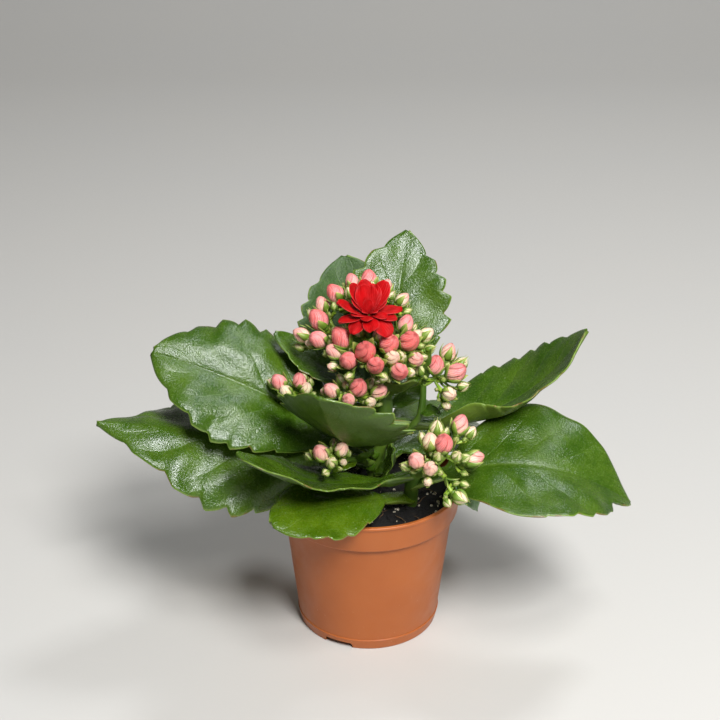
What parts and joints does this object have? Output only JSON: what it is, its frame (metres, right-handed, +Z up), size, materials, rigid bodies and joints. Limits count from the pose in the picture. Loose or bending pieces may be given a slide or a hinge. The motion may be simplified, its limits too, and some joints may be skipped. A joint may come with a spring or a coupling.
{
  "type": "potted kalanchoe",
  "caption": "Small flowering succulent with toothed leaves, budding flower heads and an open double bloom, growing in peat in a plain round plastic nursery pot.",
  "frame": {"origin": "on the surface that the pot stands on, on the pot's axis", "axes": "+Z up along the pot's axis, -Y towards the front of the plant, +X to the right as seen from the front"},
  "size_m": [0.1633, 0.087, 0.122],
  "materials": {
    "pot_plastic": "terracotta-coloured moulded plastic, satin",
    "peat": "dark moist potting peat with pale perlite grains",
    "leaf": "fleshy green leaf with a waxy sheen",
    "stem": "smooth light green stem",
    "bud": "pink petals furled in a yellow-green calyx",
    "petal": "velvety red petal"
  },
  "bodies": {
    "root": {"pot": "pot_plastic", "soil": "peat", "main_stem": "stem", "side_stem": "stem", "back_left_leaf": "leaf", "back_right_leaf": "leaf", "small_left_leaf": "leaf", "left_upper_leaf": "leaf", "right_upper_leaf": "leaf", "front_upper_leaf": "leaf", "left_lower_leaf": "leaf", "back_low_left_leaf": "leaf", "back_low_right_leaf": "leaf", "back_lowest_leaf": "leaf", "front_small_leaf": "leaf", "head_front_leaf": "leaf", "inner_right_leaf": "leaf", "right_lower_leaf": "leaf", "front_left_leaf": "leaf", "front_low_leaf": "leaf", "head_buds": "bud", "right_buds": "bud", "left_buds": "bud", "middle_buds": "bud", "low_right_buds": "bud", "low_left_buds": "bud", "bloom": "petal"}
  },
  "joints": []
}
